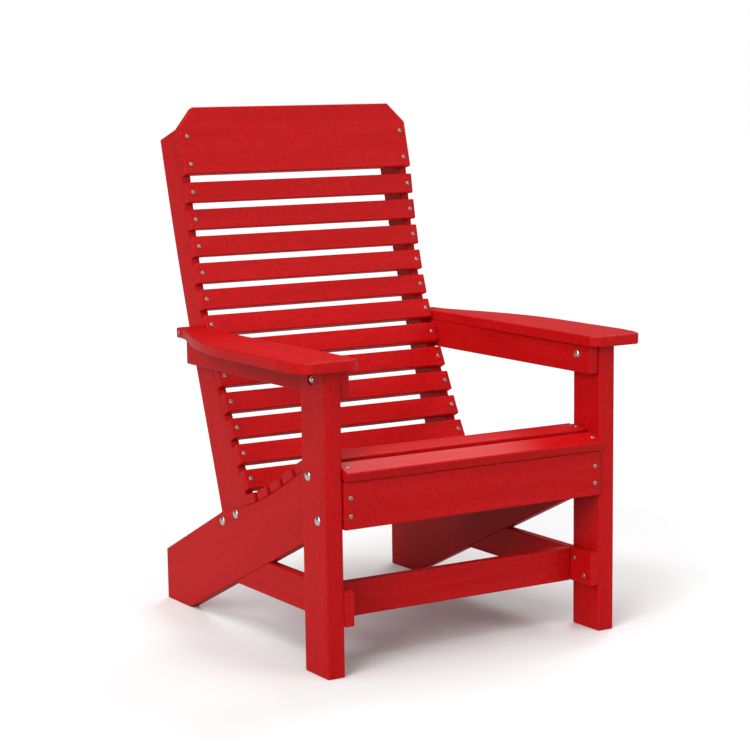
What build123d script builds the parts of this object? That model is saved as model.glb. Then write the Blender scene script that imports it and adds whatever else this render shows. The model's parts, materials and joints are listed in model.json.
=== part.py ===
from build123d import *
import os

# Adirondack chair made of recycled-plastic boards, in millimetres, +Z up, the sitter facing -Y.
# It is laid out with X = 0 as the plane of symmetry and Y = 0 as the front face of the legs,
# and then moved in Y so that the origin is the middle of its box, on the ground.
# Side outlines are pairs (Y, Z). The sitter's left is +X.

# Board sections
LEG_THICKNESS = 38
LEG_WIDTH = 89
BOARD = 22  # thickness of every frame board, the apron and the arms
SLAT_THICKNESS = 21
SLAT_WIDTH = 44
SLAT_PITCH = 58.3
STRETCHER_WIDTH = 70
EASE = 3  # rounding of the board edges
FIT = 0.5  # end clearance of boards that run between two others

# Stations across the chair, from the middle outwards
POST_INNER = 261.5
RAIL_INNER = POST_INNER + BOARD
RAIL_OUTER = RAIL_INNER + BOARD
LEG_OUTER = RAIL_OUTER + LEG_THICKNESS

# Heights
ARM_BASE = 598  # top of the legs and underside of the arms
ARM_RAIL_WIDTH = 58
STRETCHER_BASE = 99

# Side rail: foot, underside and rear tip
RAIL_REAR = 777
RAIL_REAR_TOP = 112
FOOT_FRONT = 667
RAIL_BEND = (89, 267)
RAIL_FRONT = BOARD - 6
RAIL_FRONT_BASE = 297
RAIL_TOP_BEND = (503, 242)  # start of the straight upper edge behind the seat

# Top surface of the seat, from the front slat back, and its slats
SEAT_LINE = [
    (-35, 392), (25, 417.5), (70, 426), (96, 425), (138, 412.5), (214, 375), (314, 326), (440, 283)
]
SEAT_FIRST = 43  # from the start of the line to the middle of the front slat
SEAT_SLATS = 8
SLATS_BETWEEN_LEGS = 2
SEAT_FRONT_HALF = 304.5
APRON_BASE = 290
APRON_TOP = 383
APRON_FIT = 1  # end clearance of the apron between the legs

# Front edges of the back posts, from the bottom up, and the slats on them
BACK_LINE = [
    (384, 211), (455, 307), (512, 410), (566, 517), (619.5, 627), (657, 741), (682, 859), (694, 935.5)
]
BACK_FIRST = 120  # from the start of the line to the middle of the lowest slat
BACK_SLATS = 12
BACK_HOLLOW = 0.3  # gap behind the middle of a flat slat on the hollow front edge
HEADBOARD_BASE = BACK_LINE[-1]
HEADBOARD_HEIGHT = 145.5
HEADBOARD_LEAN = 14.6
HEADBOARD_CLIP = (38.5, 43)

# Rear edges of the back posts, from the top down
POST_REAR_LINE = [(794, 1011), (751, 850), (689.5, 647), (605, 400), (549, 235)]
POST_TOP_FRONT = 1035
POST_BOTTOM = [(528, 172), (398, 203)]

# Arms, seen from above: half widths X and depths Y
ARM_FRONT = -26
ARM_REAR = 650
ARM_RAIL_FRONT = 5
ARM_INNER_FRONT = 273
ARM_INNER_REAR = 284
ARM_TAPER_END = 560
ARM_CLIP_INNER = 16
ARM_CLIP_OUTER = 11
ARM_SHOULDER = [(409, 60), (403, 12), (393, -15)]  # outer edge of the front end, from the rear forwards
ARM_CURVE = [(409, 285), (401, 377), (367, 508), (333, 603), (327, 650)]

# Screws
SCREW = 4.4
SCREW_HEAD = 9.5
SCREW_DOME = 2.4
SLAT_SCREW = 38
SEAT_SCREW = 31
LONG_SCREW = 55
SLAT_SCREW_INSET = 13.2
HEADBOARD_SCREW_INSET = 16
SEAT_SCREW_X = 291
HEADBOARD_SCREWS = (22, 82)  # up the headboard from its lower edge
APRON_SCREWS = (316.5, 352)
SIDE_STRETCHER_SCREWS = [(55, 149), (22, 117)]
FRONT_STRETCHER_SCREWS = [(78, 118), (78, 153)]
MITRE_SCREWS = (0.35, 0.7)  # along the sloping end of the side stretcher
ARM_SCREWS = (150, 330, 510)
ARM_SCREW = 38.7
ARM_SCREW_POCKET = 34
POST_SCREWS = [(628, 553), (646, 583)]
ARM_END_SCREW = (637, 609)
ARM_END_LENGTH = 61.6
RECESS = 10.4  # bore of a pocket that sinks a screw head

# Carriage bolts, washers and nuts
BOLT = 7.8
BOLT_HEAD = 19.5
BOLT_DOME = 4.6
NECK = 8
NECK_DEPTH = 4.5
WASHER = 17.5
WASHER_THICKNESS = 1.6
NUT_ACROSS_CORNERS = 14.6
NUT_THICKNESS = 6.8
LEG_BOLTS = [(65, 390), (30, 308)]
LONG_BOLT = 72
RAIL_BOLTS = [(440, 247), (500, 222)]
SHORT_BOLT = 55
ARM_BOLT = (49, 578)
ARM_BOLT_LENGTH = 60.5
NUT_POCKET = 21
NUT_POCKET_DEPTH = 10
CLEARANCE = 0.2  # on the diameter of every hole


def side_board(outline, inner, thickness=BOARD):
    """Board with an outline in the side view, standing between X = inner and inner + thickness."""
    face = Plane.YZ.offset(inner) * make_face(outline)
    return extrude(face, thickness, dir=(1, 0, 0))


def eased(board, edges=None):
    """The board with its edges rounded: all of them, or those given."""
    return fillet(board.edges() if edges is None else edges, EASE)


def face_edges(board):
    """The edges round the two broad faces of a board that stands in the side view."""
    return board.edges().filter_by(lambda edge: abs(edge.bounding_box().size.X) < EASE / 10)


def path_places(points, first, count, offset):
    """Planes at equal steps along a smooth line in the side view, their Z pointing out of it.

    The plane's X runs across the chair, its Y along the line. offset moves it along its Z.
    """
    line = Spline(*points)
    places = []
    for step in range(count):
        length = first + step * SLAT_PITCH
        spot = line.position_at(length, position_mode=PositionMode.LENGTH)
        along = line.tangent_at(length, position_mode=PositionMode.LENGTH)
        normal = (0, -along.Y, along.X)
        plane = Plane(origin=(0, spot.X, spot.Y), x_dir=(1, 0, 0), z_dir=normal)
        places.append(plane.offset(offset))
    return places


def underside(plane):
    """The two corners, in the side view, of the slat that lies on the plane."""
    corners = []
    for side in (-1, 1):
        corner = plane.from_local_coords((0, side * SLAT_WIDTH / 2, 0))
        corners.append((corner.Y, corner.Z))
    return corners


SEAT_PLACES = path_places(SEAT_LINE, SEAT_FIRST, SEAT_SLATS, -SLAT_THICKNESS)
BACK_PLACES = path_places(BACK_LINE, BACK_FIRST, BACK_SLATS, BACK_HOLLOW)
HEADBOARD_PLACE = Plane(
    origin=(0, *HEADBOARD_BASE), x_dir=(1, 0, 0), z_dir=Vector(0, -1, 0).rotate(Axis.X, -HEADBOARD_LEAN)
)


def rail_depth(z):
    """Depth Y at which the sloping underside of the side rail has a height."""
    return FOOT_FRONT - z * (FOOT_FRONT - RAIL_BEND[0]) / RAIL_BEND[1]


def slat(plane, half):
    """Straight board that lies on the plane and runs across the chair."""
    board = Box(2 * half, SLAT_WIDTH, SLAT_THICKNESS, align=(Align.CENTER, Align.CENTER, Align.MIN))
    return plane * eased(board)


def front_leg():
    """Upright board outside the rails, from the ground to the arm."""
    corner = (Align.MIN, Align.MIN, Align.MIN)
    return Pos(RAIL_OUTER, 0, 0) * eased(Box(LEG_THICKNESS, LEG_WIDTH, ARM_BASE, align=corner))


def side_rail():
    """Sloping board that carries the seat, with a flat for every slat, and ends as the rear foot."""
    flats = [corner for plane in SEAT_PLACES for corner in underside(plane)]
    start, end = flats[0], flats[1]
    slope = (end[1] - start[1]) / (end[0] - start[0])
    front_top = (RAIL_FRONT, start[1] + slope * (RAIL_FRONT - start[0]))
    outline = Polyline(
        front_top,
        *flats[1:],
        RAIL_TOP_BEND,
        (RAIL_REAR, RAIL_REAR_TOP),
        (RAIL_REAR, 0),
        (FOOT_FRONT, 0),
        RAIL_BEND,
        (RAIL_FRONT, RAIL_FRONT_BASE),
        close=True,
    )
    board = side_board(outline, RAIL_INNER)
    return eased(board, face_edges(board))


def side_stretcher():
    """Low board from the leg back to the rail, its end cut to the slope of the rail."""
    top = STRETCHER_BASE + STRETCHER_WIDTH
    outline = Polyline(
        (0, STRETCHER_BASE),
        (0, top),
        (rail_depth(top), top),
        (rail_depth(STRETCHER_BASE), STRETCHER_BASE),
        close=True,
    )
    board = side_board(outline, RAIL_INNER)
    long_edges = face_edges(board).filter_by(Axis.Y)
    return eased(board, long_edges)


def front_stretcher():
    """Low cross board between the side stretchers, level with the rear faces of the legs."""
    hung = (Align.CENTER, Align.MAX, Align.MIN)
    board = Box(2 * (RAIL_INNER - FIT), BOARD, STRETCHER_WIDTH, align=hung)
    return Pos(0, LEG_WIDTH, STRETCHER_BASE) * eased(board)


def front_apron():
    """Cross board between the legs, on the front ends of the side rails."""
    hung = (Align.CENTER, Align.MAX, Align.MIN)
    board = Box(2 * (RAIL_OUTER - APRON_FIT), BOARD, APRON_TOP - APRON_BASE, align=hung)
    return Pos(0, RAIL_FRONT, APRON_BASE) * eased(board)


def arm_rail():
    """Board on edge under the arm, from the leg back past the back post."""
    corner = (Align.MIN, Align.MIN, Align.MAX)
    board = Box(BOARD, ARM_REAR - ARM_RAIL_FRONT, ARM_RAIL_WIDTH, align=corner)
    return Pos(RAIL_INNER, ARM_RAIL_FRONT, ARM_BASE) * eased(board)


def arm():
    """Broad armrest with clipped front corners and an outer edge that sweeps in to the rear."""
    curve = Spline(*ARM_CURVE, tangents=[(0, 1), (0, 1)])
    outline = Polyline(
        curve @ 1,
        (ARM_INNER_REAR, ARM_REAR),
        (ARM_INNER_REAR, ARM_TAPER_END),
        (ARM_INNER_FRONT, ARM_FRONT + ARM_CLIP_INNER),
        (ARM_INNER_FRONT + ARM_CLIP_INNER, ARM_FRONT),
        (ARM_SHOULDER[-1][0] - ARM_CLIP_OUTER, ARM_FRONT),
        *reversed(ARM_SHOULDER),
        curve @ 0,
    )
    face = Pos(0, 0, ARM_BASE) * make_face([*curve.edges(), *outline.edges()])
    board = extrude(face, BOARD, dir=(0, 0, 1))
    flat_edges = board.edges().filter_by(lambda edge: edge.bounding_box().size.Z < EASE / 10)
    return eased(board, flat_edges)


def back_post():
    """Curved board between the slats' ends, its front edge straight behind the headboard."""
    front = Spline(*BACK_LINE)
    rear = Spline(*POST_REAR_LINE)
    top_run = (POST_TOP_FRONT - HEADBOARD_BASE[1]) / HEADBOARD_PLACE.y_dir.Z
    top = HEADBOARD_PLACE.from_local_coords((0, top_run, 0))
    foot = Polyline(rear @ 1, *POST_BOTTOM, front @ 0)
    head = Polyline(front @ 1, (top.Y, top.Z), rear @ 0)
    edges = [*front.edges(), *head.edges(), *rear.edges(), *foot.edges()]
    board = side_board(edges, POST_INNER)
    return eased(board, face_edges(board))


def headboard():
    """Flat top board of the back with both upper corners clipped."""
    half = RAIL_INNER - FIT
    clip_x, clip_y = HEADBOARD_CLIP
    outline = Polyline(
        (-half, 0),
        (half, 0),
        (half, HEADBOARD_HEIGHT - clip_y),
        (half - clip_x, HEADBOARD_HEIGHT),
        (clip_x - half, HEADBOARD_HEIGHT),
        (-half, HEADBOARD_HEIGHT - clip_y),
        close=True,
    )
    board = extrude(make_face(outline), SLAT_THICKNESS, dir=(0, 0, 1))
    return HEADBOARD_PLACE * eased(board)


def screw(length):
    """Pan-head wood screw that points down, its head resting on Z = 0."""
    head = dome(SCREW_HEAD, SCREW_DOME)
    tip = SCREW
    shank = Pos(0, 0, -length + tip) * Cylinder(
        SCREW / 2, length - tip, align=(Align.CENTER, Align.CENTER, Align.MIN)
    )
    point = Pos(0, 0, -length) * Cone(
        SCREW / 8, SCREW / 2, tip, align=(Align.CENTER, Align.CENTER, Align.MIN)
    )
    return head + shank + point


def screw_hole(length, pocket=0):
    """Hole for a screw, with a pocket above its head where it is sunk."""
    down = (Align.CENTER, Align.CENTER, Align.MAX)
    hole = Cylinder((SCREW + CLEARANCE) / 2, length + CLEARANCE, align=down)
    if pocket:
        hole += Cylinder(RECESS / 2, pocket, align=(Align.CENTER, Align.CENTER, Align.MIN))
    return hole


def dome(diameter, height):
    """Shallow round head standing on Z = 0."""
    radius = (diameter**2 / 4 + height**2) / (2 * height)
    ball = Pos(0, 0, height - radius) * Sphere(radius)
    return ball & Cylinder(diameter / 2, height, align=(Align.CENTER, Align.CENTER, Align.MIN))


def carriage_bolt(length):
    """Round-headed bolt with a square neck that points down, its head resting on Z = 0."""
    down = (Align.CENTER, Align.CENTER, Align.MAX)
    shank = Cylinder(BOLT / 2, length, align=down)
    shank = chamfer(shank.edges().group_by(Axis.Z)[0], 1)  # lead of the thread
    return dome(BOLT_HEAD, BOLT_DOME) + Box(NECK, NECK, NECK_DEPTH, align=down) + shank


def bolt_hole(length):
    """Hole for a carriage bolt, square under its head."""
    down = (Align.CENTER, Align.CENTER, Align.MAX)
    side = NECK + CLEARANCE
    square = Box(side, side, NECK_DEPTH + CLEARANCE, align=down)
    return Cylinder((BOLT + 2 * CLEARANCE) / 2, length, align=down) + square


def washer():
    """Flat ring lying on Z = 0."""
    ring = Circle(WASHER / 2) - Circle(BOLT / 2 + CLEARANCE)
    return extrude(ring, WASHER_THICKNESS)


def nut():
    """Hexagon nut standing on Z = 0."""
    section = RegularPolygon(NUT_ACROSS_CORNERS / 2, 6) - Circle((BOLT + CLEARANCE) / 2)
    return extrude(section, NUT_THICKNESS)


def facing(direction, spots, x):
    """Planes on the side view at X = x that look along +X (direction 1) or -X (direction -1)."""
    return [Plane(origin=(x, *spot), x_dir=(0, 1, 0), z_dir=(direction, 0, 0)) for spot in spots]


def fasteners():
    """Places of the fasteners on the sitter's left: node name to list of (piece, hole, place)."""
    found = {}

    def add(node, places, piece, hole):
        """Put the same fastener in several places of one node."""
        found.setdefault(node, []).extend((piece, hole, place) for place in places)

    slat_hole = screw_hole(SLAT_SCREW)
    slat_x = RAIL_INNER - FIT - SLAT_SCREW_INSET
    tops = [moved(plane.offset(SLAT_THICKNESS), slat_x, 0) for plane in BACK_PLACES]
    add("back_slat_screws", tops, screw(SLAT_SCREW), slat_hole)
    face = HEADBOARD_PLACE.offset(SLAT_THICKNESS)
    head_x = RAIL_INNER - FIT - HEADBOARD_SCREW_INSET
    spots = [moved(face, head_x, up) for up in HEADBOARD_SCREWS]
    add("headboard_screws", spots, screw(SLAT_SCREW), slat_hole)
    tops = [moved(plane.offset(SLAT_THICKNESS), SEAT_SCREW_X, 0) for plane in SEAT_PLACES]
    add("seat_slat_screws", tops, screw(SEAT_SCREW), screw_hole(SEAT_SCREW))

    front = [
        Plane(origin=(SEAT_SCREW_X, RAIL_FRONT - BOARD, z), x_dir=(1, 0, 0), z_dir=(0, -1, 0))
        for z in APRON_SCREWS
    ]
    add("apron_screws", front, screw(LONG_SCREW), screw_hole(LONG_SCREW))
    places = facing(-1, SIDE_STRETCHER_SCREWS, RAIL_INNER)
    add("side_stretcher_screws", places, screw(SLAT_SCREW), slat_hole)
    places = facing(1, FRONT_STRETCHER_SCREWS, RAIL_OUTER - 2 * EASE)
    add("front_stretcher_screws", places, screw(LONG_SCREW), screw_hole(LONG_SCREW, 2 * EASE))
    add("mitre_screws", mitre_places(), screw(LONG_SCREW), screw_hole(LONG_SCREW, SLAT_WIDTH))

    pocket = ARM_BASE - ARM_RAIL_WIDTH + ARM_SCREW_POCKET
    middle = RAIL_INNER + BOARD / 2
    below = [Plane(origin=(middle, y, pocket), x_dir=(1, 0, 0), z_dir=(0, 0, -1)) for y in ARM_SCREWS]
    add("arm_screws", below, screw(ARM_SCREW), screw_hole(ARM_SCREW, ARM_SCREW_POCKET))
    places = facing(-1, POST_SCREWS, POST_INNER)
    add("post_screws", places, screw(SLAT_SCREW), slat_hole)
    add("arm_end_screws", [arm_edge_place()], screw(ARM_END_LENGTH), screw_hole(ARM_END_LENGTH))

    bolt_joint(add, "leg_bolts", facing(1, LEG_BOLTS, LEG_OUTER), LONG_BOLT, LEG_THICKNESS + BOARD)
    bolt_joint(add, "rail_bolts", facing(1, RAIL_BOLTS, RAIL_OUTER), SHORT_BOLT, 2 * BOARD)
    inner = facing(-1, [ARM_BOLT], RAIL_INNER)
    grip = BOARD + LEG_THICKNESS - NUT_POCKET_DEPTH
    bolt_joint(add, "arm_bolts", inner, ARM_BOLT_LENGTH, grip)
    return found


def bolt_joint(add, node, places, length, grip):
    """A carriage bolt at every place, with the washer and the nut at the far side of the boards."""
    add(node, places, carriage_bolt(length), bolt_hole(length))
    pocket = Pos(0, 0, WASHER_THICKNESS - NUT_POCKET_DEPTH) * Cylinder(
        NUT_POCKET / 2, NUT_POCKET_DEPTH, align=(Align.CENTER, Align.CENTER, Align.MIN)
    )
    under = [plane.offset(-grip - WASHER_THICKNESS) for plane in places]
    add("bolt_washers", under, washer(), pocket)
    under = [plane.offset(-grip - WASHER_THICKNESS - NUT_THICKNESS) for plane in places]
    add("bolt_nuts", under, nut(), None)


def moved(plane, x, y):
    """The plane with its origin moved within itself."""
    return Plane(origin=plane.from_local_coords((x, y, 0)), x_dir=plane.x_dir, z_dir=plane.z_dir)


def mitre_places():
    """Seats of the screws that pull the sloping end of the side stretcher up to the rail."""
    top = STRETCHER_BASE + STRETCHER_WIDTH
    start = Vector(RAIL_INNER + BOARD / 2, rail_depth(top), top)
    end = Vector(RAIL_INNER + BOARD / 2, rail_depth(STRETCHER_BASE), STRETCHER_BASE)
    slope = (end - start).normalized()
    normal = slope.cross(Vector(1, 0, 0)).normalized()
    if normal.Z > 0:
        normal = -normal
    seats = []
    for fraction in MITRE_SCREWS:
        origin = start + (end - start) * fraction + normal * BOARD
        seats.append(Plane(origin=origin, x_dir=(1, 0, 0), z_dir=normal))
    return seats


def arm_edge_place():
    """Seat of the screw that runs through the rear of the arm into the back post."""
    y, z = ARM_END_SCREW
    low, high = ARM_CURVE[-2], ARM_CURVE[-1]
    x = low[0] + (high[0] - low[0]) * (y - low[1]) / (high[1] - low[1])
    return Plane(origin=(x, y, z), x_dir=(0, 1, 0), z_dir=(1, 0, 0))


def drilled(board, holes):
    """The board with every hole that reaches it taken out."""
    box = board.bounding_box()
    near = [hole for hole in holes if touches(box, hole.bounding_box())]
    return board - near if near else board


def touches(one, other):
    """Whether two boxes share any space."""
    return all(
        low < high
        for low, high in (
            (max(one.min.X, other.min.X), min(one.max.X, other.max.X)),
            (max(one.min.Y, other.min.Y), min(one.max.Y, other.max.Y)),
            (max(one.min.Z, other.min.Z), min(one.max.Z, other.max.Z)),
        )
    )


def flipped(shape):
    """The shape on the other side of the chair."""
    return mirror(shape, about=Plane.YZ)


def boards():
    """Every board, undrilled, by node name."""
    found = {
        "front_stretcher": front_stretcher(),
        "front_apron": front_apron(),
        "headboard": headboard(),
    }
    for name, make in (
        ("front_leg", front_leg),
        ("side_rail", side_rail),
        ("side_stretcher", side_stretcher),
        ("arm_rail", arm_rail),
        ("arm", arm),
        ("back_post", back_post),
    ):
        found[name + "_left"] = make()
        found[name + "_right"] = flipped(found[name + "_left"])
    for number, plane in enumerate(SEAT_PLACES, start=1):
        half = SEAT_FRONT_HALF if number <= SLATS_BETWEEN_LEGS else RAIL_OUTER
        found[f"seat_slat_{number:02d}"] = slat(plane, half)
    for number, plane in enumerate(BACK_PLACES, start=1):
        found[f"back_slat_{number:02d}"] = slat(plane, RAIL_INNER - FIT)
    return found


def chair():
    """Every node of the chair by name, in its layout position."""
    nodes = {}
    holes = []
    for name, items in fasteners().items():
        pieces = []
        for piece, hole, place in items:
            placed = place * piece
            pieces += [*placed.solids(), *flipped(placed).solids()]
            if hole is not None:
                cut = place * hole
                holes += [cut, flipped(cut)]
        nodes[name] = Compound(pieces)
    for name, board in boards().items():
        nodes[name] = drilled(board, holes)
    return nodes


def main():
    """Write every node of the chair, with the origin on the ground in the middle of its box."""
    os.makedirs("parts", exist_ok=True)
    nodes = chair()
    boxes = [node.bounding_box() for node in nodes.values()]
    middle = (min(box.min.Y for box in boxes) + max(box.max.Y for box in boxes)) / 2
    for name, node in nodes.items():
        export_step(Pos(0, -middle, 0) * node, f"parts/{name}.step")


main()
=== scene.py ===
"""The looks of an adirondack chair of red recycled-plastic boards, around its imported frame.

Every length is in metres, +Z is up and the sitter faces -Y. The boards are the frame's own
nodes in a moulded board finish. The screws, carriage bolts, washers and lock nuts are
modelled here and stand for the plain fasteners of the frame.
"""

import json
import logging
import math
import random
from collections.abc import Callable
from dataclasses import dataclass, field
from enum import Enum

import bpy
import numpy as np
from mathutils import Euler, Matrix, Vector


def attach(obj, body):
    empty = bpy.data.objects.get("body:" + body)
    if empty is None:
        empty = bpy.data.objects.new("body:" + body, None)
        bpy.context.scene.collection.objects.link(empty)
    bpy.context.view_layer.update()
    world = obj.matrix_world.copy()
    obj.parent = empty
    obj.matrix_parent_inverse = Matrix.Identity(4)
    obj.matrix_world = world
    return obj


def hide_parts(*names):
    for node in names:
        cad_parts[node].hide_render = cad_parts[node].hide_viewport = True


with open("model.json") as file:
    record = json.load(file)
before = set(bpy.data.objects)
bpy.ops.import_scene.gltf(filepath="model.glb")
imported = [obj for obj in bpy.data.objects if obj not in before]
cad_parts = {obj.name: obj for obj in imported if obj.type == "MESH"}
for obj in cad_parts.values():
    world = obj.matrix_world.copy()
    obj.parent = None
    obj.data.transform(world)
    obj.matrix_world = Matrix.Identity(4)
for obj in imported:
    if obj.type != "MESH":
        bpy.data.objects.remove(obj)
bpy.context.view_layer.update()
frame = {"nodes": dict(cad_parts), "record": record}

log = logging.getLogger("chair")

Ring = tuple[float, float]
Span = tuple[float, float]
Triple = tuple[float, float, float]
Colour = tuple[float, float, float, float]
Socket = bpy.types.NodeSocket
Feed = Socket | float | tuple[float, ...]

WHITE: Colour = (1.0, 1.0, 1.0, 1.0)
SAME_PLACE = 1e-6
ROUND_DIGITS = 6
RIM_SHARE = 0.97
CRISP_ANGLE = 35.0


# ---------------------------------------------------------------- modelling helpers


def select_only(piece: bpy.types.Object) -> None:
    """Make a piece the only selected object and the active one.

    Args:
        piece: The object to select.
    """
    bpy.ops.object.select_all(action="DESELECT")
    piece.select_set(True)
    bpy.context.view_layer.objects.active = piece


def start_edit(piece: bpy.types.Object) -> None:
    """Open a piece in edit mode with nothing selected.

    Args:
        piece: The mesh object to edit.
    """
    select_only(piece)
    bpy.ops.object.mode_set(mode="EDIT")
    bpy.ops.mesh.select_all(action="DESELECT")


def end_edit() -> None:
    """Go back to object mode."""
    bpy.ops.object.mode_set(mode="OBJECT")


def pick_vertices(piece: bpy.types.Object, test: Callable[[Vector], bool]) -> int:
    """Select the vertices of a piece in edit mode that pass a test, and nothing else.

    Args:
        piece: The mesh object in edit mode.
        test: Takes a vertex's place and says whether to select it.

    Returns:
        How many vertices are selected.
    """
    bpy.ops.mesh.select_mode(type="VERT")
    bpy.ops.mesh.select_all(action="DESELECT")
    end_edit()
    count = 0
    for vertex in piece.data.vertices:
        vertex.select = bool(test(vertex.co))
        count += vertex.select
    bpy.ops.object.mode_set(mode="EDIT")
    return count


def extrude_up(rise: float) -> None:
    """Extrude the selected faces along Z by a rise, which may be negative."""
    bpy.ops.mesh.extrude_region_move(TRANSFORM_OT_translate={"value": (0, 0, rise)})


def widen(scale: float, height: float) -> None:
    """Scale what is selected across Z, round the axis, at a height."""
    bpy.ops.transform.resize(value=(scale, scale, 1), center_override=(0, 0, height))


def bake_place(piece: bpy.types.Object) -> None:
    """Move an object's place, turn and scale into its mesh."""
    select_only(piece)
    bpy.ops.object.transform_apply(location=True, rotation=True, scale=True)


def turned(name: str, rings: list[Ring], sides: int) -> bpy.types.Object:
    """Model a closed round piece ring by ring, as on a lathe, by extruding a disc upwards.

    Args:
        name: The name of the new object.
        rings: Radius and height of every ring, from the lowest up.
        sides: How many sides the rings have.

    Returns:
        The new object, in object mode.
    """
    bpy.ops.object.select_all(action="DESELECT")
    radius, height = rings[0]
    bpy.ops.mesh.primitive_circle_add(
        vertices=sides,
        radius=radius,
        fill_type="NGON",
        location=(0, 0, height),
        enter_editmode=True,
    )
    piece = bpy.context.object
    piece.name = name
    bpy.ops.mesh.select_all(action="SELECT")
    for next_radius, next_height in rings[1:]:
        extrude_up(next_height - height)
        widen(next_radius / radius, next_height)
        radius, height = next_radius, next_height
    end_edit()
    bake_place(piece)
    return piece


def dome(radius: float, rise: float, fit: float, steps: tuple[float, ...]) -> list[Ring]:
    """Rings of a domed head, from its rim to its top.

    Args:
        radius: Radius of the head.
        rise: Height that the dome would reach on its axis.
        fit: Share of the radius that counts on the dome's curve.
        steps: Share of the radius of every ring.

    Returns:
        Radius and height of every ring.
    """
    return [(radius * step, rise * math.sqrt(1 - (step * fit) ** 2)) for step in steps]


def apply_modifier(piece: bpy.types.Object, modifier: bpy.types.Modifier) -> None:
    """Make a modifier of a piece part of its mesh."""
    bpy.context.view_layer.objects.active = piece
    bpy.ops.object.modifier_apply(modifier=modifier.name)


def combine(piece: bpy.types.Object, tool: bpy.types.Object, operation: str) -> None:
    """Cut, join or trim a piece with a tool, and throw the tool away.

    Args:
        piece: The piece to change.
        tool: The closed shape that changes it.
        operation: DIFFERENCE, UNION or INTERSECT.
    """
    change = piece.modifiers.new(operation.lower(), "BOOLEAN")
    change.operation = operation
    change.object = tool
    change.solver = "EXACT"
    apply_modifier(piece, change)
    discard(tool)


def bore(piece: bpy.types.Object, radius: float, sides: int, depth: float = 0.05) -> None:
    """Cut a hole along Z right through a piece.

    Args:
        piece: The piece to bore.
        radius: Radius of the hole.
        sides: How many sides the hole has.
        depth: Length of the drill, half of it on either side of Z = 0.
    """
    bpy.ops.object.select_all(action="DESELECT")
    bpy.ops.mesh.primitive_cylinder_add(vertices=sides, radius=radius, depth=depth)
    combine(piece, bpy.context.object, "DIFFERENCE")


def ease_rims(piece: bpy.types.Object, width: float, sharp: float = 50.0) -> None:
    """Round the sharp rims of a piece.

    Args:
        piece: The piece to ease.
        width: Width of the rounding.
        sharp: The angle in degrees from which an edge is rounded.
    """
    ease = piece.modifiers.new("ease", "BEVEL")
    ease.width = width
    ease.segments = 2
    ease.limit_method = "ANGLE"
    ease.angle_limit = math.radians(sharp)
    apply_modifier(piece, ease)
    soften(piece)


def face_outwards(piece: bpy.types.Object) -> None:
    """Merge doubled vertices of a closed piece and turn its faces outwards.

    Args:
        piece: The piece to mend.
    """
    start_edit(piece)
    bpy.ops.mesh.select_all(action="SELECT")
    bpy.ops.mesh.remove_doubles(threshold=SAME_PLACE)
    bpy.ops.mesh.normals_make_consistent(inside=False)
    end_edit()


def soften(piece: bpy.types.Object) -> None:
    """Shade a piece smooth except over its crisp edges."""
    select_only(piece)
    bpy.ops.object.shade_smooth_by_angle(angle=math.radians(CRISP_ANGLE))


def copies(pattern: bpy.types.Object, name: str, places: list[Matrix]) -> bpy.types.Object:
    """Copy a pattern to several places, each with its own mesh, and join the copies.

    Args:
        pattern: The piece to copy, modelled round the origin. It is thrown away.
        name: The name of the joined object.
        places: The place of every copy.

    Returns:
        The joined object, at the origin.
    """
    made = []
    for place in places:
        copy = pattern.copy()
        copy.data = pattern.data.copy()
        copy.data.transform(place)
        bpy.context.scene.collection.objects.link(copy)
        made.append(copy)
    bpy.ops.object.select_all(action="DESELECT")
    for copy in made:
        copy.select_set(True)
    bpy.context.view_layer.objects.active = made[0]
    if len(made) > 1:
        bpy.ops.object.join()
    made[0].name = name
    discard(pattern)
    return made[0]


def discard(piece: bpy.types.Object) -> None:
    """Delete a pattern or a tool that has done its work."""
    bpy.data.objects.remove(piece, do_unlink=True)


def stand(piece: bpy.types.Object, node: str, steel: bpy.types.Material) -> None:
    """Finish a group of fasteners and stand it for its node.

    Args:
        piece: The joined fasteners.
        node: The frame node that they stand for.
        steel: Their finish.
    """
    piece.data.materials.clear()
    piece.data.materials.append(steel)
    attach(piece, "root")
    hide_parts(node)


# ---------------------------------------------------------------- places from the frame


def solids(node: str) -> list[np.ndarray]:
    """Split a frame node into its separate solids.

    Args:
        node: The name of a frame node.

    Returns:
        For each solid, its vertices as an array of rows.
    """
    mesh = frame["nodes"][node].data
    points = np.array([vertex.co for vertex in mesh.vertices])
    _, index = np.unique(np.round(points, ROUND_DIGITS), axis=0, return_inverse=True)
    index = index.reshape(-1)
    group = list(range(index.max() + 1))

    def root(item: int) -> int:
        """Find the representative of an item's group."""
        while group[item] != item:
            group[item] = group[group[item]]
            item = group[item]
        return item

    for polygon in mesh.polygons:
        corners = [root(int(index[v])) for v in polygon.vertices]
        for corner in corners[1:]:
            group[root(corner)] = root(corners[0])
    labels = np.array([root(int(item)) for item in index])
    return [points[labels == label] for label in sorted(set(labels.tolist()))]


def headed_place(points: np.ndarray) -> Matrix:
    """Find the seat of a screw or bolt: its head points along the place's Z.

    Args:
        points: The vertices of one headed fastener.

    Returns:
        The place of the middle of the underside of its head.
    """
    middle = (points.max(axis=0) + points.min(axis=0)) / 2
    _, _, axes = np.linalg.svd(points - points.mean(axis=0))
    axis = axes[0]
    along = (points - middle) @ axis
    around = points - middle - np.outer(along, axis)
    centre = (around.max(axis=0) + around.min(axis=0)) / 2
    radius = np.linalg.norm(around - centre, axis=1)
    rim = along[radius > RIM_SHARE * radius.max()].mean()
    if abs(along.max() - rim) > abs(along.min() - rim):
        axis, rim = -axis, -rim
    seat = middle + centre + axis * rim
    turn = Vector((0, 0, 1)).rotation_difference(Vector(axis)).to_matrix().to_4x4()
    return Matrix.Translation(Vector(seat)) @ turn


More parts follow.
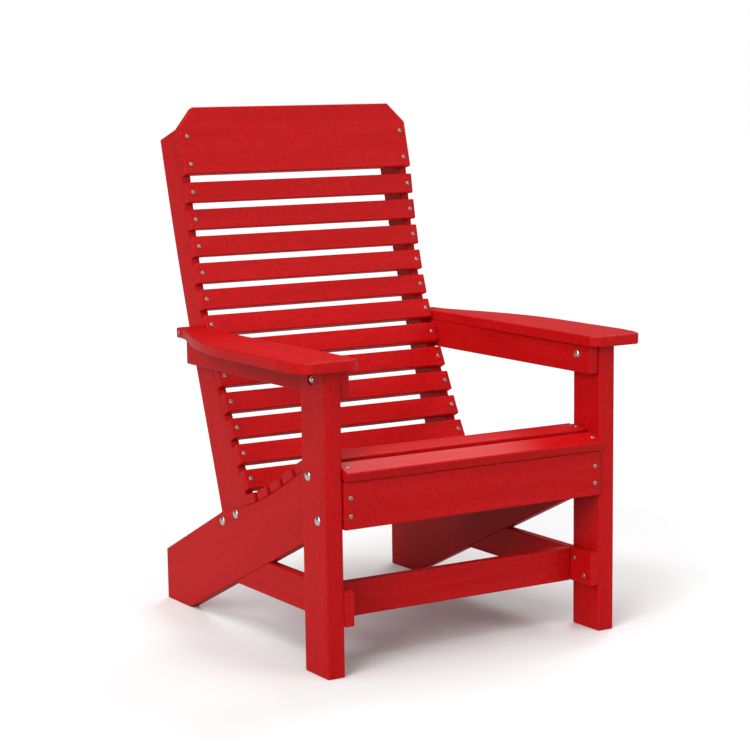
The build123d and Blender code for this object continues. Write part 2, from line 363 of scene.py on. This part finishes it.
def length_under_head(points: np.ndarray, place: Matrix) -> float:
    """Measure a screw or bolt from the seat of its head to its end.

    Args:
        points: The vertices of the fastener.
        place: The seat of its head.

    Returns:
        Its length under the head.
    """
    inwards = place.inverted()
    return -min((inwards @ Vector(point)).z for point in points)


# ---------------------------------------------------------------- finishes


class Grain(Enum):
    """The way a board's grain runs: across the chair, or at a slope in the side view."""

    ACROSS = None
    BACK = 0.0
    UPRIGHT = 90.0
    RAIL = -24.4
    POST = 70.0

    def turn(self) -> Triple:
        """Turn that brings the grain onto the pattern's X."""
        if self.value is None:
            return (0.0, 0.0, 0.0)
        return (-math.radians(self.value), 0.0, -math.pi / 2)


class NodeTree:
    """A short way to build a material's nodes."""

    def __init__(self, name: str) -> None:
        """Start an empty material.

        Args:
            name: The material's name.
        """
        self.material = bpy.data.materials.new(name)
        self.material.use_nodes = True
        self.tree = self.material.node_tree
        self.tree.nodes.clear()

    def add(self, kind: str, **inputs: Feed) -> bpy.types.Node:
        """Add a node and set or link its inputs.

        Args:
            kind: The node's type, without its "ShaderNode" prefix.
            inputs: Input names, with _ for a space, and a value or the socket to link.

        Returns:
            The new node.
        """
        node = self.tree.nodes.new("ShaderNode" + kind)
        for name, value in inputs.items():
            self.feed(node, name.replace("_", " "), value)
        return node

    def feed(self, node: bpy.types.Node, place: str | int, value: Feed) -> None:
        """Set a node's input to a value or link it to a socket.

        Args:
            node: The node.
            place: The name or number of the input.
            value: The value or the socket that it takes.
        """
        if isinstance(value, Socket):
            self.tree.links.new(value, node.inputs[place])
        else:
            node.inputs[place].default_value = value

    def math(self, operation: str, first: Feed, second: Feed) -> Socket:
        """Work out a sum or a product.

        Args:
            operation: The operation of the math node.
            first: The first number.
            second: The second number.

        Returns:
            The result.
        """
        node = self.tree.nodes.new("ShaderNodeMath")
        node.operation = operation
        self.feed(node, 0, first)
        self.feed(node, 1, second)
        return node.outputs[0]

    def weigh(self, *parts: tuple[Socket, float]) -> Socket:
        """Add up sockets, each times its weight.

        Args:
            parts: Each socket and its weight.

        Returns:
            The weighted sum.
        """
        total = None
        for value, weight in parts:
            share = self.math("MULTIPLY", value, weight)
            total = share if total is None else self.math("ADD", total, share)
        return total

    def spread(self, value: Socket, source: Span, result: Span = (0.0, 1.0)) -> Socket:
        """Map one span of a value onto another, clamped.

        Args:
            value: The value.
            source: The span that it is read over.
            result: The span that it becomes.

        Returns:
            The mapped value.
        """
        node = self.add(
            "MapRange",
            From_Min=source[0],
            From_Max=source[1],
            To_Min=result[0],
            To_Max=result[1],
            Value=value,
        )
        return node.outputs["Result"]

    def blend(self, share: Socket, first: Feed, second: Feed) -> Socket:
        """Mix two colours.

        Args:
            share: The share of the second colour, from 0 to 1.
            first: The first colour.
            second: The second colour.

        Returns:
            The mixed colour.
        """
        node = self.tree.nodes.new("ShaderNodeMix")
        node.data_type = "RGBA"
        for place, value in ((0, share), (6, first), (7, second)):
            self.feed(node, place, value)
        return node.outputs[2]

    def stretch(self, place: Socket, scale: Triple, turn: Triple = (0.0, 0.0, 0.0)) -> Socket:
        """Turn and scale the coordinates of a pattern."""
        return self.add("Mapping", Vector=place, Rotation=turn, Scale=scale).outputs[0]

    def noise(self, place: Socket, scale: float, detail: float, **more: float) -> Socket:
        """Noise of a scale and detail, and more of its inputs by name."""
        node = self.add("TexNoise", Vector=place, Scale=scale, Detail=detail, **more)
        return node.outputs["Fac"]

    def raise_by(self, height: Socket, distance: float, **under: Socket) -> Socket:
        """Raise the surface by a height, over the Normal it stands on if one is given."""
        node = self.add("Bump", Height=height, Strength=1.0, Distance=distance, **under)
        return node.outputs[0]

    def finish(self, shader: bpy.types.Node) -> bpy.types.Material:
        """Link the shader to the material's output.

        Args:
            shader: The last node.

        Returns:
            The finished material.
        """
        output = self.tree.nodes.new("ShaderNodeOutputMaterial")
        self.tree.links.new(shader.outputs[0], output.inputs["Surface"])
        return self.material


@dataclass(frozen=True)
class BoardFinish:
    """Satin moulded board: a pebbled skin, faint streaks along the grain and soft mottling.

    A scale says how fast a pattern changes, along the grain first, and a span is the part of
    a pattern over which a colour or roughness changes.
    """

    grain: Grain
    deep: Colour = (0.41, 0.002, 0.003, 1.0)
    body: Colour = (0.48, 0.003, 0.004, 1.0)
    pale: Colour = (0.55, 0.007, 0.009, 1.0)
    roughness: float = 0.42
    rough_span: Span = (-0.06, 0.08)
    gloss: float = 0.11
    streak_scale: Triple = (2.2, 30.0, 30.0)
    streak_rise: float = 0.00016
    fibre_scale: Triple = (9.0, 210.0, 210.0)
    mottle_scale: float = 120.0
    mottle_rise: float = 0.00012
    pebble_scale: float = 760.0
    pebble_rise: float = 0.00012
    deep_span: Span = (0.38, 0.5)
    pale_span: Span = (0.5, 0.62)
    speck_span: Span = (0.5, 0.78)
    speck_most: float = 0.4
    wear_span: Span = (0.3, 0.7)

    def make(self) -> bpy.types.Material:
        """Build the material.

        Returns:
            The board material, its pattern fixed to the board in Object coordinates.
        """
        nodes = NodeTree("board_" + self.grain.name.lower())
        place = nodes.add("TexCoord").outputs["Object"]
        along = nodes.stretch(place, (1.0, 1.0, 1.0), self.grain.turn())
        streaks = nodes.noise(
            nodes.stretch(along, self.streak_scale), 1.0, 5.0, Roughness=0.6, Distortion=0.4
        )
        fibres = nodes.noise(nodes.stretch(along, self.fibre_scale), 1.0, 3.0)
        mottle = nodes.noise(along, self.mottle_scale, 4.0, Roughness=0.6)
        pebbles = nodes.noise(along, self.pebble_scale, 2.0)

        tone = nodes.weigh((streaks, 0.3), (mottle, 0.5), (fibres, 0.2))
        colour = nodes.blend(nodes.spread(tone, self.deep_span), self.deep, self.body)
        colour = nodes.blend(nodes.spread(tone, self.pale_span), colour, self.pale)
        specks = nodes.spread(pebbles, self.speck_span, (0.0, self.speck_most))
        colour = nodes.blend(specks, colour, self.pale)
        wear = nodes.weigh((mottle, 0.6), (fibres, 0.4))
        smoothest, roughest = (self.roughness + change for change in self.rough_span)
        rough = nodes.spread(wear, self.wear_span, (smoothest, roughest))
        skin = nodes.raise_by(streaks, self.streak_rise)
        skin = nodes.raise_by(mottle, self.mottle_rise, Normal=skin)
        skin = nodes.raise_by(pebbles, self.pebble_rise, Normal=skin)
        shader = nodes.add(
            "BsdfPrincipled",
            Base_Color=colour,
            Roughness=rough,
            Specular_IOR_Level=self.gloss,
            Normal=skin,
        )
        return nodes.finish(shader)


@dataclass(frozen=True)
class SteelFinish:
    """Stainless steel, turned or cold-formed, with fine scratches and dull patches."""

    name: str
    tint: Colour = (0.80, 0.79, 0.78, 1.0)
    worn: Colour = (0.62, 0.60, 0.58, 1.0)
    worn_span: Span = (0.35, 0.65)
    roughness: float = 0.28
    rough_span: Span = (0.12, -0.06)
    dull_span: Span = (0.3, 0.7)
    patch_scale: float = 420.0
    scratch_scale: Triple = (3200.0, 400.0, 3200.0)
    scratch_rise: float = 0.00002

    def make(self) -> bpy.types.Material:
        """Build the material.

        Returns:
            The steel material.
        """
        nodes = NodeTree(self.name)
        place = nodes.add("TexCoord").outputs["Object"]
        patches = nodes.noise(place, self.patch_scale, 4.0)
        scratches = nodes.noise(nodes.stretch(place, self.scratch_scale), 1.0, 2.0)
        colour = nodes.blend(nodes.spread(patches, self.worn_span), self.worn, self.tint)
        dullest, brightest = (self.roughness + change for change in self.rough_span)
        shader = nodes.add(
            "BsdfPrincipled",
            Base_Color=colour,
            Metallic=1.0,
            Roughness=nodes.spread(patches, self.dull_span, (dullest, brightest)),
            Normal=nodes.raise_by(scratches, self.scratch_rise),
        )
        return nodes.finish(shader)


SCREW_STEEL = SteelFinish(
    "screw_steel", tint=(0.50, 0.37, 0.35, 1.0), worn=(0.38, 0.26, 0.25, 1.0), roughness=0.40
)
BOLT_STEEL = SteelFinish("bolt_steel", roughness=0.22)


# ---------------------------------------------------------------- boards


@dataclass
class Boards:
    """The boards of the chair, which keep the frame's own shape."""

    slot: str = "lumber"
    grains: dict[str, Grain] = field(
        default_factory=lambda: {
            "front_leg": Grain.UPRIGHT,
            "side_rail": Grain.RAIL,
            "side_stretcher": Grain.BACK,
            "arm": Grain.BACK,
            "back_post": Grain.POST,
            "headboard": Grain.ACROSS,
            "front": Grain.ACROSS,
            "back_slat": Grain.ACROSS,
            "seat_slat": Grain.ACROSS,
        }
    )

    def grain_of(self, node: str) -> Grain:
        """Grain of a board by the longest name that its node starts with."""
        names = [name for name in self.grains if node.startswith(name)]
        return self.grains[max(names, key=len)]

    def dress(self) -> None:
        """Give every board node the finish with its own grain."""
        finishes = {grain: BoardFinish(grain).make() for grain in Grain}
        slots = {part["node"]: part["material_slot"] for part in frame["record"]["subparts"]}
        for node, piece in sorted(frame["nodes"].items()):
            if slots[node] != self.slot:
                continue
            grain = self.grain_of(node)
            for slot in piece.material_slots:
                slot.material = finishes[grain]
            log.info("board %s: %s", node, grain.name)


# ---------------------------------------------------------------- screws


@dataclass
class Screws:
    """Pan-head wood screws with a six-lobed driver recess.

    head, shank, core and tip are radii, and a share is of the radius before it.
    """

    slot: str = "screw_steel"
    sides: int = 24
    head: float = 0.00475
    rim_ease: float = 0.0002
    rim_height: float = 0.0007
    rim_share: float = 0.985
    dome_rise: float = 0.0024
    dome_fit: float = 0.93
    dome_steps: tuple[float, ...] = (0.93, 0.82, 0.66)
    shank: float = 0.0022
    plain_share: float = 0.9
    core: float = 0.0016
    pitch: float = 0.0028
    unthreaded: float = 0.012
    runout: float = 0.0005
    tip: float = 0.0003
    point: float = 0.004
    lobes: int = 6
    recess_share: float = 0.8
    recess_ease: float = 0.0001
    recess_depth: float = 0.0014
    recess_taper: float = 0.86
    waist_share: float = 0.7
    waist_angle: float = 8.0

    def pattern(self, length: float) -> bpy.types.Object:
        """Model one screw that points down, its head resting on Z = 0.

        Args:
            length: From the seat of the head to the tip.

        Returns:
            The screw.
        """
        height = -length + self.point
        rings = [(self.tip, -length), (self.core, height)]
        for _ in range(int((length - self.unthreaded) / self.pitch)):
            rings.append((self.shank, height + self.pitch / 2))
            rings.append((self.core, height + self.pitch))
            height += self.pitch
        plain = self.shank * self.plain_share
        rings += [(plain, height + self.runout), (plain, 0.0)]
        rings += [(self.head - self.rim_ease, 0.0), (self.head, self.rim_ease)]
        rings.append((self.head * self.rim_share, self.rim_height))
        rings += dome(self.head, self.dome_rise, self.dome_fit, self.dome_steps)
        piece = turned("screw_pattern", rings, self.sides)
        self.cut_recess(piece)
        face_outwards(piece)
        soften(piece)
        return piece

    def cut_recess(self, piece: bpy.types.Object) -> None:
        """Sink the six-lobed recess into the top of the head.

        Args:
            piece: The screw.
        """
        top = max(vertex.co.z for vertex in piece.data.vertices)
        rim = top + self.recess_ease
        start_edit(piece)
        pick_vertices(piece, lambda co: co.z > top - SAME_PLACE)
        extrude_up(self.recess_ease)
        widen(self.recess_share, rim)

        def between_lobes(co: Vector) -> bool:
            """Whether a rim vertex lies between two lobes."""
            lobe_angle = 360 / self.lobes
            turn = math.degrees(math.atan2(co.y, co.x)) % lobe_angle
            return co.z > rim - SAME_PLACE and abs(turn - lobe_angle / 2) < self.waist_angle

        pick_vertices(piece, between_lobes)
        widen(self.waist_share, rim)
        pick_vertices(piece, lambda co: co.z > rim - SAME_PLACE)
        extrude_up(-self.recess_depth)
        widen(self.recess_taper, rim - self.recess_depth)
        end_edit()

    def build(self, steel: bpy.types.Material) -> None:
        """Model every group of screws and stand it for its node.

        Args:
            steel: The finish of the screws.
        """
        roll = random.Random(7)
        for part in frame["record"]["subparts"]:
            if part["material_slot"] != self.slot:
                continue
            node = part["node"]
            found = solids(node)
            places = [headed_place(points) for points in found]
            length = length_under_head(found[0], places[0])
            pattern = self.pattern(length)
            rolled = [
                place @ Matrix.Rotation(roll.uniform(0, 2 * math.pi / self.lobes), 4, "Z")
                for place in places
            ]
            piece = copies(pattern, node + "_turned", rolled)
            stand(piece, node, steel)
            log.info("%s: %d screws, about %.0f mm", piece.name, len(places), 1000 * length)


# ---------------------------------------------------------------- bolts, washers and nuts


@dataclass
class Bolt:
    """A carriage bolt with a round head and a square neck.

    head, shank and core are radii, neck is the width of the square, and a share is of the
    radius before it.
    """

    sides: int = 32
    head: float = 0.00975
    rim_ease: float = 0.0003
    rim_height: float = 0.0009
    rim_share: float = 0.99
    dome_rise: float = 0.0046
    dome_fit: float = 0.97
    dome_steps: tuple[float, ...] = (0.95, 0.88, 0.78, 0.65, 0.5, 0.33, 0.16)
    shank: float = 0.0039
    plain_share: float = 0.97
    core: float = 0.0034
    end_share: float = 0.9
    end_ease: float = 0.0005
    pitch: float = 0.0014
    crest: Span = (0.4, 0.6)
    thread: float = 0.022
    runout: float = 0.0006
    neck: float = 0.008
    neck_corners: float = 1.18
    neck_depth: float = 0.0045
    neck_foot: float = 0.0004
    neck_gap: float = 0.0002

    def pattern(self, length: float) -> bpy.types.Object:
        """Model one carriage bolt that points down, its head resting on Z = 0.

        Args:
            length: From the seat of the head to the end.

        Returns:
            The bolt.
        """
        height = -length + self.end_ease
        rings = [(self.core * self.end_share, -length), (self.core, height)]
        for _ in range(int(self.thread / self.pitch)):
            rings += [(self.shank, height + self.pitch * share) for share in self.crest]
            rings.append((self.core, height + self.pitch))
            height += self.pitch
        plain = self.shank * self.plain_share
        corner = self.neck / 2 * self.neck_corners
        rings += [(plain, height + self.runout), (plain, -self.neck_depth)]
        rings += [(corner, -self.neck_depth + self.neck_foot), (corner, -self.neck_gap)]
        rings += [(self.head - self.rim_ease, 0.0), (self.head, self.rim_ease)]
        rings.append((self.head * self.rim_share, self.rim_height))
        rings += dome(self.head, self.dome_rise, self.dome_fit, self.dome_steps)
        piece = turned("bolt_pattern", rings, self.sides)
        self.square_neck(piece)
        face_outwards(piece)
        soften(piece)
        return piece

    def square_neck(self, piece: bpy.types.Object) -> None:
        """Press the round neck under the head into a square one.

        Args:
            piece: The bolt.
        """
        half = self.neck / 2
        low, high = -self.neck_depth + self.neck_foot / 2, -self.neck_gap / 2
        start_edit(piece)
        for side in range(4):
            turn = Matrix.Rotation(side * math.pi / 2, 3, "Z")

            def beyond(co: Vector, turn: Matrix = turn) -> bool:
                """Whether a neck vertex stands out past one flat of the square."""
                return low < co.z < high and (turn @ co).x > half + SAME_PLACE / 10

            if pick_vertices(piece, beyond):
                flat = turn.inverted() @ Vector((half, 0, 0))
                flatten = (0, 1, 1) if side % 2 == 0 else (1, 0, 1)
                bpy.ops.transform.resize(value=flatten, center_override=flat)
        end_edit()


@dataclass
class Washer:
    """A flat round washer."""

    sides: int = 32
    outer: float = 0.00875
    inner: float = 0.0041
    thickness: float = 0.0016
    ease: float = 0.00035

    def pattern(self) -> bpy.types.Object:
        """Model one washer that lies on Z = 0.

        Returns:
            The washer, with rounded rims.
        """
        bpy.ops.object.select_all(action="DESELECT")
        bpy.ops.mesh.primitive_cylinder_add(
            vertices=self.sides,
            radius=self.outer,
            depth=self.thickness,
            location=(0, 0, self.thickness / 2),
        )
        piece = bpy.context.object
        piece.name = "washer_pattern"
        bake_place(piece)
        bore(piece, self.inner, self.sides)
        ease_rims(piece, self.ease)
        return piece


@dataclass
class Nut:
    """A lock nut: a hexagon with a round collar.

    radius is to the corners. The collar's shares are of the half width across flats.
    """

    sides: int = 32
    radius: float = 0.0073
    thickness: float = 0.0068
    hexagon_share: float = 0.78
    corner_share: float = 0.9
    corner_reach: float = 1.02
    corner_height: float = 0.0008
    collar_share: float = 0.96
    collar_top_share: float = 0.86
    collar_sink: float = 0.0004
    collar_ease: float = 0.0006
    bore_radius: float = 0.004
    ease: float = 0.0002

    def pattern(self) -> bpy.types.Object:
        """Model one lock nut that stands on Z = 0, its collar up.

        Returns:
            The nut.
        """
        hexagon = self.thickness * self.hexagon_share
        bpy.ops.object.select_all(action="DESELECT")
        bpy.ops.mesh.primitive_cylinder_add(
            vertices=6, radius=self.radius, depth=hexagon, location=(0, 0, hexagon / 2)
        )
        piece = bpy.context.object
        piece.name = "nut_pattern"
        bake_place(piece)
        combine(piece, self.chamfer_cone(hexagon), "INTERSECT")
        combine(piece, self.collar(hexagon), "UNION")
        bore(piece, self.bore_radius, self.sides)
        ease_rims(piece, self.ease)
        face_outwards(piece)
        return piece

    def chamfer_cone(self, height: float) -> bpy.types.Object:
        """Model the double cone that the corners of the hexagon are turned down to.

        Args:
            height: Height of the hexagon.

        Returns:
            The double cone.
        """
        face, corner = self.radius * self.corner_share, self.radius * self.corner_reach
        rings = [
            (face, 0.0),
            (corner, self.corner_height),
            (corner, height - self.corner_height),
            (face, height),
        ]
        return turned("nut_cone", rings, 2 * self.sides)

    def collar(self, height: float) -> bpy.types.Object:
        """Model the round collar over the hexagon.

        Args:
            height: Height of the hexagon.

        Returns:
            The collar, sunk a little into the hexagon.
        """
        apothem = self.radius * math.cos(math.pi / 6)
        rings = [
            (apothem * self.collar_share, height - self.collar_sink),
            (apothem * self.collar_share, self.thickness - self.collar_ease),
            (apothem * self.collar_top_share, self.thickness),
        ]
        return turned("nut_collar", rings, self.sides)


@dataclass
class BoltSets:
    """The carriage bolts with their washers and lock nuts."""

    slot: str = "bolt_steel"
    bolt_nodes: tuple[str, ...] = ("leg_bolts", "rail_bolts", "arm_bolts")
    bolt: Bolt = field(default_factory=Bolt)
    washer: Washer = field(default_factory=Washer)
    nut: Nut = field(default_factory=Nut)

    def build(self, steel: bpy.types.Material) -> None:
        """Model the bolts, washers and nuts and stand them for their nodes.

        Args:
            steel: The finish of them all.
        """
        for node in self.bolt_nodes:
            found = solids(node)
            places = [headed_place(points) for points in found]
            pattern = self.bolt.pattern(length_under_head(found[0], places[0]))
            self.place(pattern, places, node, steel)
        washer_places, nut_places = self.stack()
        self.place(self.washer.pattern(), washer_places, "bolt_washers", steel)
        self.place(self.nut.pattern(), nut_places, "bolt_nuts", steel)

    def place(
        self,
        pattern: bpy.types.Object,
        places: list[Matrix],
        node: str,
        steel: bpy.types.Material,
    ) -> None:
        """Copy a pattern to its places and stand the copies for their node.

        Args:
            pattern: The bolt, washer or nut.
            places: The place of every copy.
            node: The frame node that the copies stand for.
            steel: Their finish.
        """
        piece = copies(pattern, node + "_turned", places)
        stand(piece, node, steel)
        log.info("%s: %d pieces", piece.name, len(places))

    def stack(self) -> tuple[list[Matrix], list[Matrix]]:
        """Find where the nuts sit, and the washers under them.

        Returns:
            The places of the washers and of the nuts, +Z away from the board.
        """
        washers = [points.mean(axis=0) for points in solids("bolt_washers")]
        nuts = [(points.max(axis=0) + points.min(axis=0)) / 2 for points in solids("bolt_nuts")]
        washer_places = []
        nut_places = []
        for nut in nuts:
            washer = min(washers, key=lambda other: np.linalg.norm(other - nut))
            way = 1.0 if nut[0] > washer[0] else -1.0
            turn = Euler((0, way * math.pi / 2, 0)).to_matrix().to_4x4()
            seat = Vector(nut) - Vector((way * self.nut.thickness / 2, 0, 0))
            under = seat - Vector((way * self.washer.thickness, 0, 0))
            nut_places.append(Matrix.Translation(seat) @ turn)
            washer_places.append(Matrix.Translation(under) @ turn)
        return washer_places, nut_places


# ---------------------------------------------------------------- studio


@dataclass(frozen=True)
class FarLight:
    """A broad far light: the way to it, its strength and the angle it fills in degrees."""

    name: str
    towards: Triple
    strength: float
    angle: float

    def hang(self) -> None:
        """Add the light to the scene."""
        data = bpy.data.lights.new(self.name, "SUN")
        data.energy = self.strength
        data.angle = math.radians(self.angle)
        light = bpy.data.objects.new(self.name, data)
        light.rotation_euler = (-Vector(self.towards)).to_track_quat("-Z", "Y").to_euler()
        bpy.context.scene.collection.objects.link(light)


@dataclass
class Studio:
    """A pale floor, soft lights and the camera. Angles are in degrees."""

    aim: Triple = (0.0, -0.084, 0.377)
    distance: float = 4.4297
    azimuth: float = 31.885
    pitch: float = 9.994
    roll: float = -0.672
    lens: float = 101.64
    sensor: float = 36.0
    shift: tuple[float, float] = (-0.0269, 0.0963)
    reach: float = 60.0
    floor_size: float = 40.0
    floor_tone: float = 0.80
    floor_bounce: float = 0.46
    haze: float = 0.12
    backdrop: float = 1.0
    lights: tuple[FarLight, ...] = (
        FarLight("overhead", (-0.20, -0.12, 0.97), 2.3, 55),
        FarLight("key", (-0.80, -0.43, 0.42), 2.0, 32),
        FarLight("front", (0.50, -0.80, 0.30), 0.75, 40),
        FarLight("sheen", (0.52, 0.41, 0.75), 1.0, 26),
    )

    def camera(self) -> None:
        """Place the camera and make it the scene's own."""
        azimuth, pitch, roll = (math.radians(a) for a in (self.azimuth, self.pitch, self.roll))
        level = math.cos(pitch)
        ahead = Vector((math.sin(azimuth) * level, math.cos(azimuth) * level, -math.sin(pitch)))
        right = Vector((math.cos(azimuth), -math.sin(azimuth), 0))
        up = right.cross(ahead)
        rolled_right = right * math.cos(roll) + up * math.sin(roll)
        rolled_up = up * math.cos(roll) - right * math.sin(roll)
        place = Matrix((rolled_right, rolled_up, -ahead)).transposed().to_4x4()
        place.translation = Vector(self.aim) - ahead * self.distance
        data = bpy.data.cameras.new("camera")
        data.lens = self.lens
        data.sensor_width = self.sensor
        data.shift_x, data.shift_y = self.shift
        data.clip_end = self.reach
        camera = bpy.data.objects.new("camera", data)
        camera.matrix_world = place
        bpy.context.scene.collection.objects.link(camera)
        bpy.context.scene.camera = camera

    def floor(self) -> None:
        """Lay the floor, which the eye sees paler than it lights the chair."""
        bpy.ops.object.select_all(action="DESELECT")
        bpy.ops.mesh.primitive_plane_add(size=self.floor_size, location=(0, 0, 0))
        piece = bpy.context.object
        piece.name = "floor"
        nodes = NodeTree("floor_paint")
        seen = nodes.add("LightPath").outputs["Is Camera Ray"]
        dim, tone = self.floor_bounce, self.floor_tone
        colour = nodes.blend(seen, (dim, dim, dim, 1), (tone, tone, tone, 1))
        shader = nodes.add("BsdfDiffuse", Color=colour)
        piece.data.materials.append(nodes.finish(shader))

    def surround(self) -> None:
        """Fill the surround with a dim haze that the eye sees as a white backdrop."""
        world = bpy.data.worlds.new("surround")
        world.use_nodes = True
        tree = world.node_tree
        haze = tree.nodes["Background"]
        white = tree.nodes.new("ShaderNodeBackground")
        for node, strength in ((haze, self.haze), (white, self.backdrop)):
            node.inputs["Color"].default_value = WHITE
            node.inputs["Strength"].default_value = strength
        path = tree.nodes.new("ShaderNodeLightPath")
        mix = tree.nodes.new("ShaderNodeMixShader")
        tree.links.new(path.outputs["Is Camera Ray"], mix.inputs[0])
        tree.links.new(haze.outputs[0], mix.inputs[1])
        tree.links.new(white.outputs[0], mix.inputs[2])
        tree.links.new(mix.outputs[0], tree.nodes["World Output"].inputs["Surface"])
        bpy.context.scene.world = world

    def build(self) -> None:
        """Lay the floor, hang the lights and place the camera."""
        self.floor()
        for light in self.lights:
            light.hang()
        self.surround()
        bpy.context.scene.view_settings.view_transform = "Standard"
        self.camera()


def main() -> None:
    """Dress the boards, model the fasteners and set up the studio."""
    logging.basicConfig(level=logging.INFO, format="%(name)s: %(message)s")
    Boards().dress()
    Screws().build(SCREW_STEEL.make())
    BoltSets().build(BOLT_STEEL.make())
    Studio().build()


if __name__ == "__main__":
    main()
